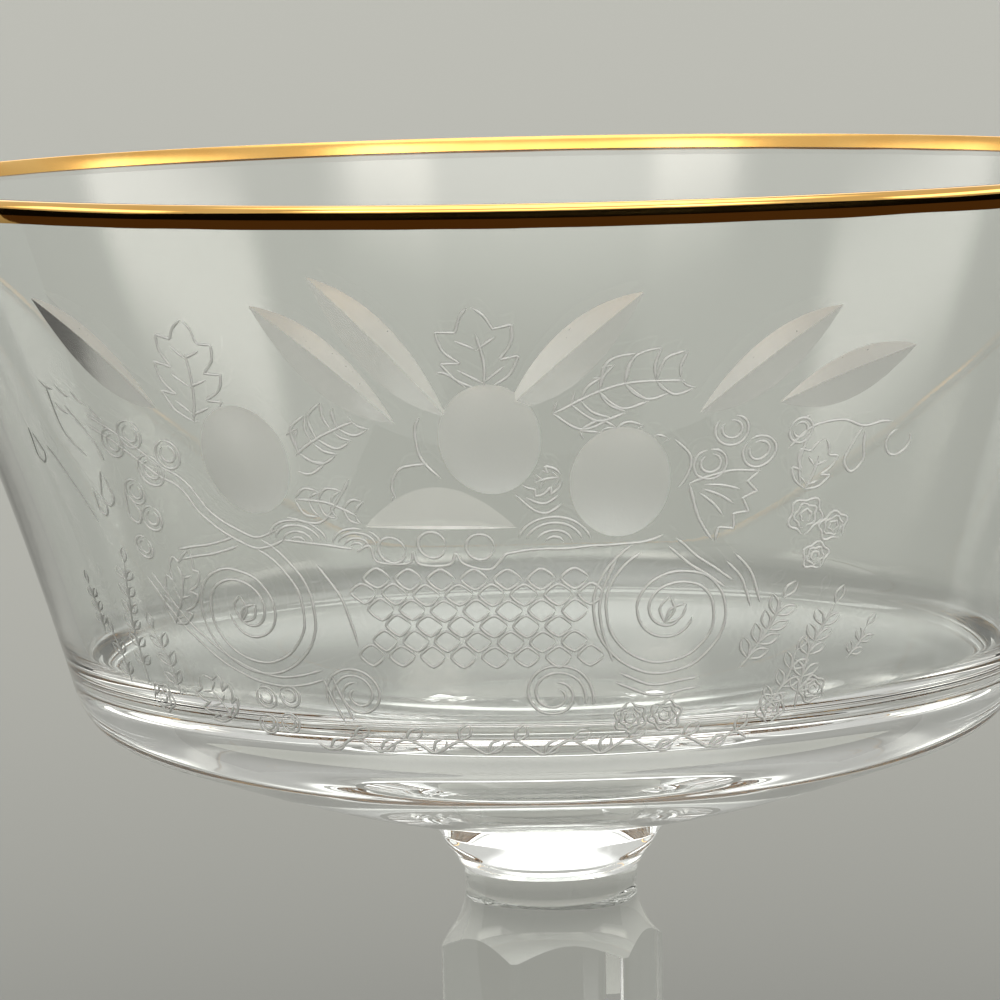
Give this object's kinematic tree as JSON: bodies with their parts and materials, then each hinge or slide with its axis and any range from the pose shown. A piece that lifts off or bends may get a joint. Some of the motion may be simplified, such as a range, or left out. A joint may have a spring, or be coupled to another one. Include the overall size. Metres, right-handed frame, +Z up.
{
  "type": "sherbet glass",
  "caption": "Stemmed sherbet glass: flared bowl with a gilded lip and wheel-cut leaves and fruit, flared collar, panel-cut stem and round foot.",
  "frame": {"origin": "on the table, under the middle of the foot", "axes": "+Z up along the glass's axis, -Y towards the side with the cut decoration"},
  "size_m": [0.0954, 0.0954, 0.1302],
  "materials": {
    "clear_glass": "polished clear glass, ground matte in the cut leaves and fruit",
    "gilding": "bright fired gold"
  },
  "bodies": {
    "root": {"bowl": "clear_glass", "collar": "clear_glass", "stem": "clear_glass", "foot": "clear_glass", "gold_rim": "gilding"}
  },
  "joints": []
}
